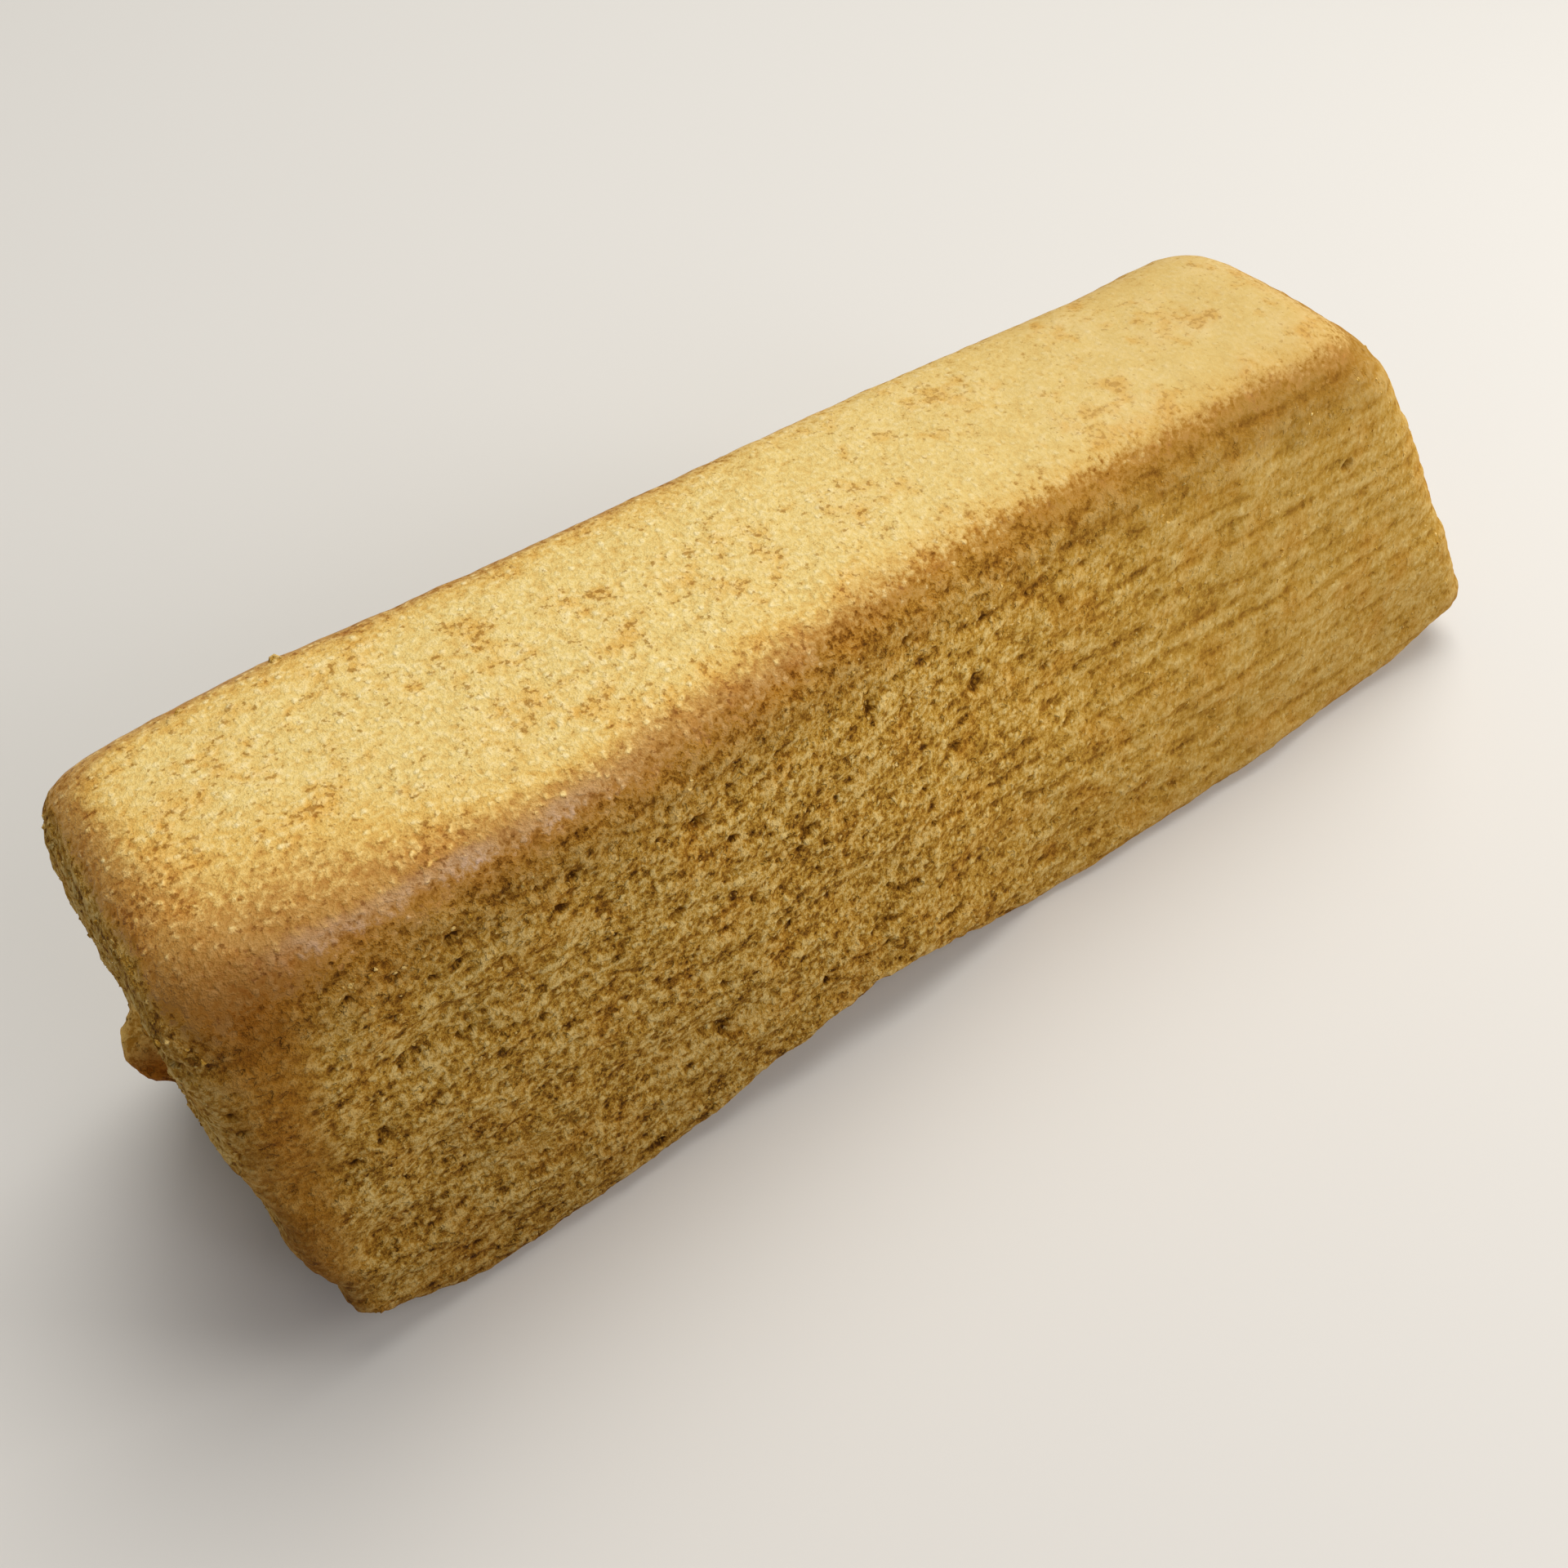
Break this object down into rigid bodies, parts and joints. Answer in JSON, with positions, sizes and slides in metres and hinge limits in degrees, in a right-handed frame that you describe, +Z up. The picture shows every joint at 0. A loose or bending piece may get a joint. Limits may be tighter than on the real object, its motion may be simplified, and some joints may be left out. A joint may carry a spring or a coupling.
{
  "type": "baumkuchen bar",
  "caption": "Long bar of layered baumkuchen sponge with a smooth golden top skin, open crumb walls with fine layer ridges, one upright end and one slanted end.",
  "frame": {"origin": "under the middle of the bar, on the surface that it rests on", "axes": "+X along the bar towards its slanted end, -Y out of the open crumb wall that the picture shows, +Z up"},
  "size_m": [0.144, 0.037, 0.0437],
  "materials": {
    "crumb": "matt open sponge crumb under a soft satin baked skin"
  },
  "bodies": {
    "root": {"cake": "crumb"}
  },
  "joints": []
}
